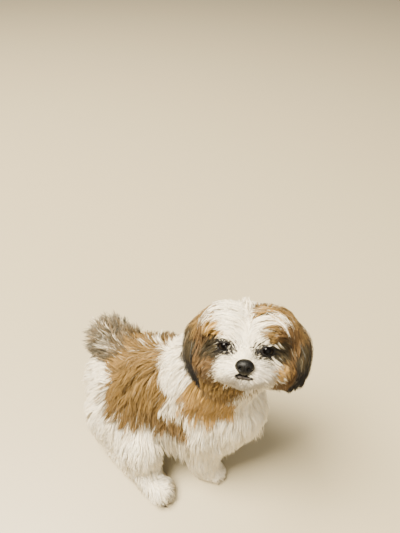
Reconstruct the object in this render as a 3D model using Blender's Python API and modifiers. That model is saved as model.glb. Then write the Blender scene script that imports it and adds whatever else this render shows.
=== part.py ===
"""A shih tzu sitting on the floor, its head turned over its right shoulder and tipped up. Life size, in metres.

The dog faces -Y with its left side at +X, and the floor is z = 0. The shapes run out to the tips of the coat.
The body is made whole from lofts and balls, melted together, and then parted into its nodes by cells that
leave a thin gap. The head is made in a frame of its own, facing -Y, and is turned to its pose as a whole.
Places are given from a point on the dog's midline, which lies a little off the middle of its outline.
"""

import math

import bmesh
import bpy
from mathutils import Matrix, Vector

# Overall fineness
GAP = 0.0003
VOXEL = 0.0036
SMOOTH_PASSES = 5
SMOOTH_STRENGTH = 0.5
BODY_TRIANGLES = 3150
RING_POINTS = 16
STEPS_BETWEEN = 2
FORM_FINENESS = 4
CUTTER_FINENESS = 3
NOSTRIL_FINENESS = 2
DOME_RINGS = (0.5, 0.8, 0.95, 0.995)
FLOOR_DEPTH = 0.05

# Trunk: stations along the back as (x, y, z, half width, half height)
TRUNK = (
    (0.000, 0.088, 0.074, 0.076, 0.081),
    (0.000, 0.056, 0.088, 0.090, 0.099),
    (0.000, 0.015, 0.117, 0.090, 0.102),
    (0.000, -0.035, 0.142, 0.083, 0.099),
    (0.000, -0.080, 0.158, 0.079, 0.095),
    (0.000, -0.112, 0.163, 0.069, 0.084),
)
CHEST_SKIRT = ((0.0, -0.108, 0.120), (0.075, 0.054, 0.060))
SHOULDER = ((0.046, -0.092, 0.140), (0.040, 0.046, 0.062))
NECK = (
    (0.000, -0.055, 0.185, 0.072, 0.066),
    (0.000, -0.088, 0.232, 0.070, 0.064),
    (-0.003, -0.118, 0.278, 0.064, 0.058),
)

# Hind legs: (x, y, z) and radii of the haunch and the knee, and the foot from hock to toes.
# The right leg lies further out than the left.
HAUNCH = ((0.060, 0.048, 0.068), (0.050, 0.080, 0.070))
KNEE_RIGHT = ((-0.092, -0.006, 0.066), (0.036, 0.044, 0.052))
KNEE_LEFT = ((0.084, -0.008, 0.066), (0.036, 0.044, 0.052))
HIND_FOOT_RIGHT = (
    (-0.085, 0.044, 0.026, 0.029, 0.028),
    (-0.101, -0.010, 0.024, 0.028, 0.027),
    (-0.117, -0.060, 0.018, 0.030, 0.023),
)
HIND_FOOT_LEFT = (
    (0.082, 0.052, 0.024, 0.026, 0.026),
    (0.092, 0.008, 0.024, 0.028, 0.027),
    (0.102, -0.040, 0.018, 0.030, 0.023),
)

# Forelegs, for the left side: the column from the elbow to the floor, and the paw
FORELEG = (
    (0.045, -0.092, 0.130, 0.036, 0.042),
    (0.046, -0.095, 0.080, 0.030, 0.038),
    (0.047, -0.098, 0.034, 0.026, 0.034),
    (0.046, -0.102, 0.012, 0.026, 0.034),
)
FORE_PAW = (
    (0.045, -0.088, 0.014, 0.026, 0.018),
    (0.046, -0.116, 0.014, 0.027, 0.019),
    (0.046, -0.131, 0.011, 0.024, 0.015),
)

# Tail plume: an arc from the rump up, back and over
TAIL = (
    (0.000, 0.084, 0.142, 0.020, 0.018),
    (0.002, 0.110, 0.150, 0.024, 0.021),
    (0.005, 0.121, 0.176, 0.028, 0.023),
    (0.009, 0.105, 0.203, 0.028, 0.023),
    (0.012, 0.080, 0.200, 0.022, 0.020),
)

# Head frame: its centre, turned to the right, tipped up, and leant to one side
HEAD_CENTRE = Vector((-0.004, -0.133, 0.310))
HEAD_TURN = math.radians(-76)
HEAD_TIP = math.radians(-38)
HEAD_LEAN = math.radians(-4)

# Head, in its own frame, for the left side where there is a pair: centre and radii
SKULL = ((0.000, 0.006, 0.008), (0.058, 0.054, 0.053))
CROWN = ((0.026, -0.008, 0.029), (0.038, 0.042, 0.034))
CHEEK = ((0.034, -0.014, -0.014), (0.036, 0.038, 0.029))
MUZZLE = ((0.018, -0.048, -0.013), (0.023, 0.024, 0.017))
CHIN = ((0.000, -0.044, -0.025), (0.020, 0.019, 0.012))
BRIDGE = ((0.000, -0.049, 0.002), (0.014, 0.020, 0.013))
EYE_HOLLOW = ((0.0243, -0.062, 0.013), (0.0140, 0.0150, 0.0095))
MOUTH = ((0.0000, -0.067, -0.0185), (0.0105, 0.0090, 0.0018))
EAR = (
    (0.050, 0.006, 0.034, 0.020, 0.012),
    (0.064, 0.005, 0.016, 0.027, 0.015),
    (0.067, 0.002, -0.006, 0.029, 0.014),
    (0.064, -0.002, -0.027, 0.026, 0.013),
    (0.057, -0.005, -0.039, 0.018, 0.010),
)

# Eyes and nose leather, in the head's frame
EYE_CENTRE = (0.0238, -0.0430, 0.0130)
EYE_RADIUS = 0.0092
NOSE_CENTRE = (0.0010, -0.0670, -0.0018)
NOSE_RADII = (0.0112, 0.0085, 0.0080)
NOSTRIL = ((0.0052, -0.0755, -0.0030), (0.0022, 0.0040, 0.0017))

# Cells that part the body: planes across the neck as a point and a normal, balls round the forelegs
# and the tail, turned boxes round the hind legs, and the ears' own forms swollen
NECK_TOP = (Vector((0.0, -0.120, 0.262)), Vector((0.05, -0.25, 0.97)))
NECK_FOOT = (Vector((0.0, -0.080, 0.212)), Vector((0.0, -0.38, 0.92)))
CELL_REACH = 0.30
FORELEG_CELL = ((0.046, -0.102, 0.020), (0.043, 0.057, 0.085))
HIND_CELL_SIZE = (0.12, 0.19, 0.23)
HIND_CELL_RIGHT = (Vector((-0.125, 0.004, 0.0)), math.radians(-12))
HIND_CELL_LEFT = (Vector((0.124, 0.004, 0.0)), math.radians(8))
TAIL_CELL = (Vector((0.006, 0.112, 0.191)), (0.050, 0.060, 0.046))
EAR_CELL_SWELL = 1.12

# Frames: the whole dog is moved so that the origin is under the middle of its outline
MIDLINE_POINT = Vector((0.007, 0.025, 0.0))
BODY_FRAME = Matrix.Translation(MIDLINE_POINT)
HEAD_FRAME = (
    BODY_FRAME
    @ Matrix.Translation(HEAD_CENTRE)
    @ Matrix.Rotation(HEAD_TURN, 4, "Z")
    @ Matrix.Rotation(HEAD_TIP, 4, "X")
    @ Matrix.Rotation(HEAD_LEAN, 4, "Y")
)
SIDEWAYS = Vector((1, 0, 0))
FRONT_TO_BACK = Vector((0, 1, 0))
LEFT = 1
RIGHT = -1
SIDES = ((LEFT, "left"), (RIGHT, "right"))

# Finishes: colour and roughness
WHITE_COAT = ((0.82, 0.78, 0.70), 0.85)
GOLDEN_COAT = ((0.42, 0.24, 0.10), 0.85)
DARK_EYE = ((0.012, 0.009, 0.008), 0.08)
NOSE_LEATHER = ((0.015, 0.014, 0.014), 0.40)


def clear_scene():
    for item in list(bpy.data.objects):
        bpy.data.objects.remove(item, do_unlink=True)


def collection(name):
    group = bpy.data.collections.new(name)
    bpy.context.scene.collection.children.link(group)
    return group


def principled(name, colour, roughness):
    material = bpy.data.materials.new(name)
    material.use_nodes = True
    shader = material.node_tree.nodes["Principled BSDF"]
    shader.inputs["Base Color"].default_value = (*colour, 1.0)
    shader.inputs["Roughness"].default_value = roughness
    material.diffuse_color = (*colour, 1.0)
    return material


def place(name, mesh_data, group):
    item = bpy.data.objects.new(name, mesh_data)
    group.objects.link(item)
    return item


def mesh_from(name, bm):
    bmesh.ops.recalc_face_normals(bm, faces=bm.faces)
    data = bpy.data.meshes.new(name)
    bm.to_mesh(data)
    bm.free()
    data.shade_smooth()
    return data


def ball(name, centre, radii, frame, group, fineness=CUTTER_FINENESS):
    """An ellipsoid with its axes along the frame's."""
    bm = bmesh.new()
    bmesh.ops.create_icosphere(bm, subdivisions=fineness, radius=1.0)
    shape = frame @ Matrix.Translation(centre) @ Matrix.Diagonal((*radii, 1.0))
    bmesh.ops.transform(bm, matrix=shape, verts=bm.verts)
    return place(name, mesh_from(name, bm), group)


def box(name, centre, size, frame, group):
    bm = bmesh.new()
    bmesh.ops.create_cube(bm, size=1.0)
    shape = frame @ Matrix.Translation(centre) @ Matrix.Diagonal((*size, 1.0))
    bmesh.ops.transform(bm, matrix=shape, verts=bm.verts)
    return place(name, mesh_from(name, bm), group)


def between(a, b, c, d, t):
    """A Catmull-Rom curve from b to c, for one value of a station."""
    return 0.5 * (2 * b + (c - a) * t + (2 * a - 5 * b + 4 * c - d) * t**2 + (3 * b - a - 3 * c + d) * t**3)


def fill_in(stations):
    """The stations with smooth steps added between them."""
    last = len(stations) - 1
    filled = []
    for i in range(last):
        four = [stations[max(0, min(last, i + k))] for k in (-1, 0, 1, 2)]
        for step in range(STEPS_BETWEEN):
            filled.append([between(*values, step / STEPS_BETWEEN) for values in zip(*four)])
    filled.append(list(stations[last]))
    return filled


def round_off(end, along, side):
    """Shrinking rings past an end station, so that the loft ends in a dome."""
    reach = min(end[3], end[4]) * side
    domes = []
    for out in DOME_RINGS:
        centre = Vector(end[:3]) + along * reach * out
        shrink = math.sqrt(1 - out**2)
        domes.append([*centre, end[3] * shrink, end[4] * shrink])
    return domes


def loft(name, stations, across, frame, group):
    """A closed form through elliptical stations; across is the direction of the first radius."""
    filled = fill_in(stations)
    first = (Vector(filled[1][:3]) - Vector(filled[0][:3])).normalized()
    final = (Vector(filled[-1][:3]) - Vector(filled[-2][:3])).normalized()
    head_dome = round_off(filled[-1], final, 1)
    foot_dome = round_off(filled[0], first, -1)
    filled = foot_dome[::-1] + filled + head_dome
    bm = bmesh.new()
    rings = []
    for i, station in enumerate(filled):
        before = Vector(filled[max(i - 1, 0)][:3])
        after = Vector(filled[min(i + 1, len(filled) - 1)][:3])
        along = (after - before).normalized()
        wide = (across - across.dot(along) * along).normalized()
        deep = along.cross(wide)
        ring = []
        for k in range(RING_POINTS):
            turn = 2 * math.pi * k / RING_POINTS
            offset = wide * math.cos(turn) * station[3] + deep * math.sin(turn) * station[4]
            ring.append(bm.verts.new(frame @ (Vector(station[:3]) + offset)))
        rings.append(ring)
    for low, high in zip(rings, rings[1:]):
        for k in range(RING_POINTS):
            after = (k + 1) % RING_POINTS
            bm.faces.new((low[k], low[after], high[after], high[k]))
    bm.faces.new(rings[0][::-1])
    bm.faces.new(rings[-1])
    return place(name, mesh_from(name, bm), group)


def on_side(values, side):
    """A left-hand point or station as it is, or carried over to the right."""
    return (values[0] * side, *values[1:])


def pair(shape):
    """A left-hand centre and radii, and the right-hand ones."""
    centre, radii = shape
    return tuple((on_side(centre, side), radii) for side in (LEFT, RIGHT))


def bake(item):
    """Replaces an object's mesh by what its modifiers make of it."""
    bpy.context.view_layer.update()
    evaluated = item.evaluated_get(bpy.context.evaluated_depsgraph_get())
    finished = bpy.data.meshes.new_from_object(evaluated)
    item.modifiers.clear()
    item.data = finished


def body_shapes(group):
    """Trunk, neck, legs and tail as overlapping closed forms."""
    shapes = [loft("trunk_form", TRUNK, SIDEWAYS, BODY_FRAME, group)]
    shapes.append(loft("neck_form", NECK, SIDEWAYS, BODY_FRAME, group))
    shapes.append(loft("tail_form", TAIL, SIDEWAYS, BODY_FRAME, group))
    shapes.append(ball("skirt_form", *CHEST_SKIRT, BODY_FRAME, group, FORM_FINENESS))
    for shape in pair(SHOULDER) + pair(HAUNCH) + (KNEE_RIGHT, KNEE_LEFT):
        shapes.append(ball("muscle_form", *shape, BODY_FRAME, group, FORM_FINENESS))
    for foot in (HIND_FOOT_RIGHT, HIND_FOOT_LEFT):
        shapes.append(loft("foot_form", foot, SIDEWAYS, BODY_FRAME, group))
    for side in (LEFT, RIGHT):
        for stations in (FORELEG, FORE_PAW):
            placed = [on_side(station, side) for station in stations]
            shapes.append(loft("foreleg_form", placed, SIDEWAYS, BODY_FRAME, group))
    return shapes


def head_shapes(group):
    """Skull, brow, cheeks, muzzle and ears in the head's frame."""
    shapes = []
    for shape in (SKULL, CHIN, BRIDGE) + pair(CROWN) + pair(CHEEK) + pair(MUZZLE):
        shapes.append(ball("head_form", *shape, HEAD_FRAME, group, FORM_FINENESS))
    for side in (LEFT, RIGHT):
        stations = [on_side(station, side) for station in EAR]
        shapes.append(loft("ear_form", stations, FRONT_TO_BACK, HEAD_FRAME, group))
    return shapes


def cut(item, cutter, operation="DIFFERENCE"):
    modifier = item.modifiers.new(f"{operation.lower()}_{cutter.name}", "BOOLEAN")
    modifier.operation = operation
    modifier.solver = "EXACT"
    modifier.object = cutter


def as_cutter(item):
    item.hide_render = True
    item.display_type = "WIRE"
    return item


def melt(shapes, group):
    """Joins the forms, remeshes them as one surface, smooths it, hollows the eyes and thins out its faces."""
    bm = bmesh.new()
    for shape in shapes:
        bm.from_mesh(shape.data)
        bpy.data.objects.remove(shape, do_unlink=True)
    whole = place("whole_body", mesh_from("whole_body", bm), group)
    remesh = whole.modifiers.new("one_skin", "REMESH")
    remesh.mode = "VOXEL"
    remesh.voxel_size = VOXEL
    smooth = whole.modifiers.new("soften", "SMOOTH")
    smooth.factor = SMOOTH_STRENGTH
    smooth.iterations = SMOOTH_PASSES
    for centre, radii in pair(EYE_HOLLOW):
        cut(whole, as_cutter(ball("eye_hollow", centre, radii, HEAD_FRAME, group)))
    cut(whole, as_cutter(ball("mouth", *MOUTH, HEAD_FRAME, group)))
    bake(whole)
    faces = sum(len(polygon.vertices) - 2 for polygon in whole.data.polygons)
    thin = whole.modifiers.new("thin_out", "DECIMATE")
    thin.ratio = BODY_TRIANGLES / faces
    bake(whole)
    return whole


def facing(point, normal):
    """A frame at a point with its z axis along the normal."""
    return Matrix.Translation(point) @ normal.to_track_quat("Z", "Y").to_matrix().to_4x4()


def above_plane(name, plane, grow, group):
    """A box over a plane, let down by grow."""
    point, normal = plane
    height = CELL_REACH + grow
    centre = Vector((0, 0, height / 2 - grow))
    size = (CELL_REACH * 2, CELL_REACH * 2, height)
    return as_cutter(box(name, centre, size, BODY_FRAME @ facing(point, normal), group))


def grown(size, grow):
    return tuple(side + 2 * grow for side in size)


def head_cell(grow, group):
    return above_plane("head_cell", NECK_TOP, grow, group)


def neck_cell(grow, group):
    return above_plane("neck_cell", NECK_FOOT, grow, group)


def foreleg_cell(side, grow, group):
    centre, radii = FORELEG_CELL
    radii = tuple(r + grow for r in radii)
    return as_cutter(ball("foreleg_cell", on_side(centre, side), radii, BODY_FRAME, group))


def hindleg_cell(side, grow, group):
    centre, turn = HIND_CELL_LEFT if side == LEFT else HIND_CELL_RIGHT
    frame = BODY_FRAME @ Matrix.Translation(centre) @ Matrix.Rotation(turn, 4, "Z")
    return as_cutter(box("hindleg_cell", Vector(), grown(HIND_CELL_SIZE, grow), frame, group))


def tail_cell(grow, group):
    centre, radii = TAIL_CELL
    return as_cutter(ball("tail_cell", centre, tuple(r + grow for r in radii), BODY_FRAME, group))


def ear_cell(side, grow, group):
    """The ear's own form, swollen so that it takes all of the ear out of the melted body."""
    stations = []
    for *centre, wide, thick in EAR:
        swollen = (wide * EAR_CELL_SWELL + grow, thick * EAR_CELL_SWELL + grow)
        stations.append((*on_side(centre, side), *swollen))
    return as_cutter(loft("ear_cell", stations, FRONT_TO_BACK, HEAD_FRAME, group))


def floor_cutter(group):
    size = (CELL_REACH * 4, CELL_REACH * 4, FLOOR_DEPTH)
    return as_cutter(box("floor_cutter", Vector((0, 0, -FLOOR_DEPTH / 2)), size, BODY_FRAME, group))


def eye(side, grow, group, name):
    return ball(name, on_side(EYE_CENTRE, side), (EYE_RADIUS + grow,) * 3, HEAD_FRAME, group)


def nose(grow, group, name):
    return ball(name, NOSE_CENTRE, tuple(r + grow for r in NOSE_RADII), HEAD_FRAME, group)


def flesh(name, whole, material, group):
    """A node that starts as the whole body and is cut down to its own cell."""
    item = place(name, whole.data.copy(), group)
    item.data.materials.clear()
    item.data.materials.append(material)
    return item


def make_dog():
    parts = collection("shih_tzu")
    cutters = collection("cutters")
    white = principled("white_coat", *WHITE_COAT)
    gold = principled("golden_coat", *GOLDEN_COAT)
    wet_black = principled("dark_eye", *DARK_EYE)
    leather = principled("nose_leather", *NOSE_LEATHER)

    whole = melt(body_shapes(cutters) + head_shapes(cutters), cutters)
    cut(whole, floor_cutter(cutters))
    bake(whole)
    as_cutter(whole)

    head = flesh("head", whole, white, parts)
    cut(head, head_cell(0, cutters), "INTERSECT")
    neck = flesh("neck", whole, white, parts)
    cut(neck, neck_cell(0, cutters), "INTERSECT")
    cut(neck, head_cell(GAP, cutters))
    trunk = flesh("trunk", whole, gold, parts)
    cut(trunk, neck_cell(GAP, cutters))
    tail = flesh("tail", whole, gold, parts)
    cut(tail, tail_cell(0, cutters), "INTERSECT")
    cut(trunk, tail_cell(GAP, cutters))
    for side, word in SIDES:
        foreleg = flesh(f"foreleg_{word}", whole, white, parts)
        cut(foreleg, foreleg_cell(side, 0, cutters), "INTERSECT")
        hindleg = flesh(f"hindleg_{word}", whole, white, parts)
        cut(hindleg, hindleg_cell(side, 0, cutters), "INTERSECT")
        cut(hindleg, foreleg_cell(side, GAP, cutters))
        cut(trunk, foreleg_cell(side, GAP, cutters))
        cut(trunk, hindleg_cell(side, GAP, cutters))
        ear = flesh(f"ear_{word}", whole, gold, parts)
        cut(ear, ear_cell(side, 0, cutters), "INTERSECT")
        cut(head, ear_cell(side, GAP, cutters))
        cut(neck, ear_cell(side, GAP, cutters))
        cut(head, as_cutter(eye(side, GAP, cutters, "eye_socket")))
        eyeball = eye(side, 0, parts, f"eye_{word}")
        eyeball.data.materials.append(wet_black)

    cut(head, as_cutter(nose(GAP, cutters, "nose_socket")))
    snout = nose(0, parts, "nose")
    snout.data.materials.append(leather)
    for centre, radii in pair(NOSTRIL):
        cut(snout, as_cutter(ball("nostril", centre, radii, HEAD_FRAME, cutters, NOSTRIL_FINENESS)))


if __name__ == "__main__":
    clear_scene()
    make_dog()
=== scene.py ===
"""A sitting shih tzu at life size: skin, eyes, nose, claws and a long coat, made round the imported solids.

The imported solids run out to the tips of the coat. The skin is one surface melted from them and drawn inwards
by the coat's depth, and the coat is thousands of thin tapered locks that grow from the skin, follow a combing
of guide strokes and stay under the solids' surface. Skin and coat take their colours from the same markings.
Places on the head are in the head's own frame in millimetres: x to the dog's left, -y out of the face, z up.
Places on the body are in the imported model's frame in millimetres, for the dog's left side, from its midline.
"""

import functools
import math
from dataclasses import dataclass

import bmesh
import bpy
import numpy as np
from bpy.props import FloatProperty, FloatVectorProperty, IntProperty, PointerProperty
from mathutils import Matrix, Vector
from mathutils.bvhtree import BVHTree
from mathutils.kdtree import KDTree


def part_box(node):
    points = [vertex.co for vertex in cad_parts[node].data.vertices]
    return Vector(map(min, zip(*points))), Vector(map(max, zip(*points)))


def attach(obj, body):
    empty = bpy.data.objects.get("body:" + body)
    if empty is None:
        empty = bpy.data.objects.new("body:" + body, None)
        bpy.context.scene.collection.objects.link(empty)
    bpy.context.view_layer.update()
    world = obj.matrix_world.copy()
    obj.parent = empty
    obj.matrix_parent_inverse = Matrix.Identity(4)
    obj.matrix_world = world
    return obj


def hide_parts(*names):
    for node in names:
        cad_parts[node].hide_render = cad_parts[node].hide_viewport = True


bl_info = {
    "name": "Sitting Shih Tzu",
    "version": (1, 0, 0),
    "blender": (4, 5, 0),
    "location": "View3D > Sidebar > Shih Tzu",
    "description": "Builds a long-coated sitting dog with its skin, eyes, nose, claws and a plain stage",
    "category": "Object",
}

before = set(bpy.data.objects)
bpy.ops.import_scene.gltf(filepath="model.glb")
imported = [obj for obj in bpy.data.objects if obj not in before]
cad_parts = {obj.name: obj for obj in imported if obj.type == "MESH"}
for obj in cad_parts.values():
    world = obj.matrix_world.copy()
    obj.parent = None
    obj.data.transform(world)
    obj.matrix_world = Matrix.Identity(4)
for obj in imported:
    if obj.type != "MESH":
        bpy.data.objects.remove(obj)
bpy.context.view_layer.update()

MM = 0.001
BODY = "root"
SIDES = ((1, "left"), (-1, "right"))
FLESH = ("head", "neck", "trunk", "tail", "ear_left", "ear_right")
FLESH += ("foreleg_left", "foreleg_right", "hindleg_left", "hindleg_right")

# Where the head's own frame lies against the eyes and the nose, in mm
EYES_FORWARD = 43.0
EYES_UP = 13.0
NOSE_BEYOND_EYES = 24.0
NOSE_BELOW_EYES = 14.8


def middle_of(node):
    low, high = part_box(node)
    return (low + high) / 2


def find_head_frame():
    """The head's frame from the middles of the eyes and the nose."""
    left = middle_of("eye_left")
    right = middle_of("eye_right")
    between = (left + right) / 2
    sideways = (left - right).normalized()
    to_nose = middle_of("nose") - between
    to_nose -= sideways * to_nose.dot(sideways)
    drop = math.atan2(NOSE_BELOW_EYES, NOSE_BEYOND_EYES)
    ahead = Matrix.Rotation(-drop, 3, sideways) @ to_nose.normalized()
    up = ahead.cross(sideways)
    turn = Matrix((sideways, -ahead, up)).transposed()
    origin = between + (ahead * -EYES_FORWARD - up * EYES_UP) * MM
    return Matrix.Translation(origin) @ turn.to_4x4()


HEAD = find_head_frame()
HEAD_TURN = np.array(HEAD.to_3x3())
HEAD_ORIGIN = np.array(HEAD.translation)
MIDLINE = (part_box("foreleg_left")[0].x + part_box("foreleg_right")[1].x) / 2
EYE_RADIUS = (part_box("eye_left")[1].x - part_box("eye_left")[0].x) / 2 / MM


def to_head(points):
    """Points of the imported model's frame as places on the head, in mm."""
    return (points - HEAD_ORIGIN) @ HEAD_TURN / MM


def from_head(places):
    """Places on the head, in mm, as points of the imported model's frame."""
    return np.asarray(places) * MM @ HEAD_TURN.T + HEAD_ORIGIN


def from_body(places):
    """Places on the body, in mm from its midline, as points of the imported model's frame."""
    return np.asarray(places, float) * MM + (MIDLINE, 0, 0)


# Numbers

def unit(vectors):
    return vectors / np.maximum(np.linalg.norm(vectors, axis=-1, keepdims=True), 1e-9)


def dot(a, b):
    return (a * b).sum(-1, keepdims=True)


def ramp(low, high, value):
    """A smooth rise from 0 at low to 1 at high."""
    t = np.clip((value - low) / (high - low), 0, 1)
    return t * t * (3 - 2 * t)


def hump(value, middle, width):
    """1 where the value is the middle one, falling smoothly to 0 about two widths away."""
    return np.exp(-(((value - middle) / width) ** 2))


def laid_over(colours, shade, share):
    """Colours with one shade laid over them, by a share at each point."""
    share = share[:, None]
    return colours * (1 - share) + np.array(shade) * share


def wander(points, size, seed):
    """A soft pattern between about -1 and 1 that changes over the given size: a few crossed waves."""
    rng = np.random.default_rng(seed)
    total = np.zeros(len(points))
    for octave in range(6):
        way = unit(rng.normal(size=3))
        pace = 2 * math.pi / size * (0.6 + 0.25 * octave)
        total += np.sin(points @ way * pace + rng.uniform(0, 2 * math.pi))
    return total / 2.5


def hex_colour(text):
    """An sRGB hex colour as linear red, green and blue."""
    shares = [int(text[i : i + 2], 16) / 255 for i in (1, 3, 5)]
    return tuple(s / 12.92 if s <= 0.04045 else ((s + 0.055) / 1.055) ** 2.4 for s in shares)


# Meshes as arrays

def read(items, name, width=1, kind=np.int32):
    """One property of a mesh's items as an array, with a row for each item where it has a width."""
    flat = np.empty(len(items) * width, kind)
    items.foreach_get(name, flat)
    return flat.reshape(-1, width) if width > 1 else flat


def points_of(mesh):
    return read(mesh.vertices, "co", 3, np.float32).astype(float)


def normals_of(mesh):
    return read(mesh.vertex_normals, "vector", 3, np.float32).astype(float)


def face_middles(mesh):
    return read(mesh.polygons, "center", 3, np.float32).astype(float)


def edges_of(mesh):
    return read(mesh.edges, "vertices", 2)


def triangles_of(mesh, what="vertices"):
    mesh.calc_loop_triangles()
    return read(mesh.loop_triangles, what, 3)


def move_points(mesh, points):
    mesh.vertices.foreach_set("co", points.astype(np.float32).ravel())
    mesh.update()


def relaxed(values, edges, passes):
    """Values at the vertices, drawn towards their neighbours' average pass by pass."""
    count = np.maximum(np.bincount(edges.ravel(), minlength=len(values)), 1)
    values = values.reshape(len(values), -1)
    for _ in range(passes):
        sums = []
        for column in values.T:
            both = np.bincount(edges[:, 0], column[edges[:, 1]], len(values))
            both += np.bincount(edges[:, 1], column[edges[:, 0]], len(values))
            sums.append(both / count)
        values = (values + np.stack(sums, 1)) / 2
    return values


class Field:
    """Distance to a closed surface, positive outside, held on a grid and read by blending its corners."""

    def __init__(self, tree, low, high, spacing):
        self.low = low
        self.high = high
        self.spacing = spacing
        self.count = np.ceil((high - low) / spacing).astype(int) + 1
        steps = [self.low[i] + spacing * np.arange(self.count[i]) for i in range(3)]
        grid = np.stack(np.meshgrid(*steps, indexing="ij"), -1).reshape(-1, 3)
        found = np.empty(len(grid))
        for i, place in enumerate(grid.tolist()):
            near, normal, _, apart = tree.find_nearest(place)
            outside = (Vector(place) - near).dot(normal) > 0
            found[i] = apart if outside else -apart
        distance = found.reshape(self.count)
        slopes = np.gradient(distance, spacing)
        self.values = np.stack([distance, *slopes], -1)

    def at(self, points):
        """The distance at each point, and the direction in which it grows."""
        place = (points - self.low) / self.spacing
        place = np.clip(place, 0, self.count - 1.001)
        corner = place.astype(int)
        part = place - corner
        total = 0
        for step in np.ndindex(2, 2, 2):
            share = np.prod(np.where(step, part, 1 - part), -1)
            x, y, z = (corner + step).T
            total = total + self.values[x, y, z] * share[:, None]
        return total[:, :1], unit(total[:, 1:])


# Spacing of the fields' grids and how far they reach beyond the shape, in metres
FINE_SPACING, FINE_MARGIN = 0.0035, 0.008
COARSE_SPACING, COARSE_MARGIN = 0.006, 0.018


class NearAndFar:
    """A coarse field round the whole dog with a fine one round its head."""

    def __init__(self, mesh):
        points = points_of(mesh)
        tree = BVHTree.FromPolygons(points.tolist(), triangles_of(mesh).tolist())
        low, high = (np.array(corner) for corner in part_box("head"))
        self.near = Field(tree, low - FINE_MARGIN, high + FINE_MARGIN, FINE_SPACING)
        self.far = Field(tree, points.min(0) - COARSE_MARGIN, points.max(0) + COARSE_MARGIN, COARSE_SPACING)

    def at(self, points):
        distance, way = self.far.at(points)
        inside = ((points > self.near.low) & (points < self.near.high)).all(1)
        if inside.any():
            distance[inside], way[inside] = self.near.at(points[inside])
        return distance, way


# Settings that a user would change

WHITE = hex_colour("#F1E4C9")
GOLD = hex_colour("#6E542B")
# Amber: partly a lighter gold, partly painted light, the neck's gold made lighter where the head shades it
AMBER_AND_PAINTED_LIGHT = hex_colour("#9D793F")
BROWN = hex_colour("#574024")
OLIVE = hex_colour("#302818")
# Ash: partly the greyer hair of muzzle and chin, partly painted shade on the muzzle's left side
ASH_AND_PAINTED_SHADE = hex_colour("#B3A895")
BLACK = hex_colour("#15110E")


def colour_setting(name, about, default):
    return FloatVectorProperty(name=name, description=about, default=default, subtype="COLOR", min=0, max=1)


def length_setting(name, about, default):
    return FloatProperty(name=name, description=about, default=default, unit="LENGTH", min=0)


class SkinSettings(bpy.types.PropertyGroup):
    """Sizes of the skin under the coat."""

    voxel: length_setting("Fineness", "Size of the faces of the melted skin", 0.0024)
    trunk_depth: length_setting("Trunk coat", "Depth of the coat over the trunk", 0.019)
    neck_depth: length_setting("Neck coat", "Depth of the coat over the neck", 0.016)
    head_depth: length_setting("Head coat", "Depth of the coat over the crown and cheeks", 0.0085)
    face_depth: length_setting("Face coat", "Depth of the coat over the muzzle and brows", 0.0028)
    ear_depth: length_setting("Ear coat", "Depth of the coat over the ear leather", 0.0065)
    tail_depth: length_setting("Tail coat", "Depth of the plume round the tail", 0.0125)
    hindleg_depth: length_setting("Hind leg coat", "Depth of the coat over the hind legs", 0.0095)
    foreleg_depth: length_setting("Foreleg coat", "Depth of the coat over the forelegs", 0.0075)


class CoatSettings(bpy.types.PropertyGroup):
    """Colours and build of the coat."""

    white: colour_setting("White", "The coat's main colour", WHITE)
    gold: colour_setting("Gold", "The patches on back and neck", GOLD)
    # Amber is a lighter gold, and on the neck painted light where the head keeps light off it
    amber_and_painted_light: colour_setting("Amber", "The lighter gold of the neck", AMBER_AND_PAINTED_LIGHT)
    brown: colour_setting("Brown", "The darker shade of the head's patches", BROWN)
    olive: colour_setting("Olive", "The sooty shade round eyes and ears", OLIVE)
    # Ash is partly greyer hair and partly painted shade on the muzzle's left side
    ash_and_painted_shade: colour_setting("Ash", "The greyer white of muzzle and chin", ASH_AND_PAINTED_SHADE)
    black: colour_setting("Black", "Ear tips, eye rims and lips", BLACK)
    share: FloatProperty(
        name="Share of locks", description="Part of the locks that is made", default=1.0, min=0.01, max=1
    )
    seed: IntProperty(name="Seed", description="Start of the coat's scatter", default=7)


class StageSettings(bpy.types.PropertyGroup):
    """Floor and light."""

    floor_colour: colour_setting("Floor", "Colour of the floor", hex_colour("#A09377"))
    key_power: FloatProperty(
        name="Key light", description="Strength of the large soft light", default=1520.0, min=0, unit="POWER"
    )
    sky: FloatProperty(name="Sky", description="Strength of the even light all round", default=0.5, min=0)


def settings():
    return bpy.context.scene.shih_tzu_skin, bpy.context.scene.shih_tzu_coat, bpy.context.scene.shih_tzu_stage


# Markings, some of them carrying painted light and shade as noted at each: where each colour lies, as soft
# balls laid over white, the later over the earlier.
# Each is a colour, a middle, radii and how soft its edge is, in mm.

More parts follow.
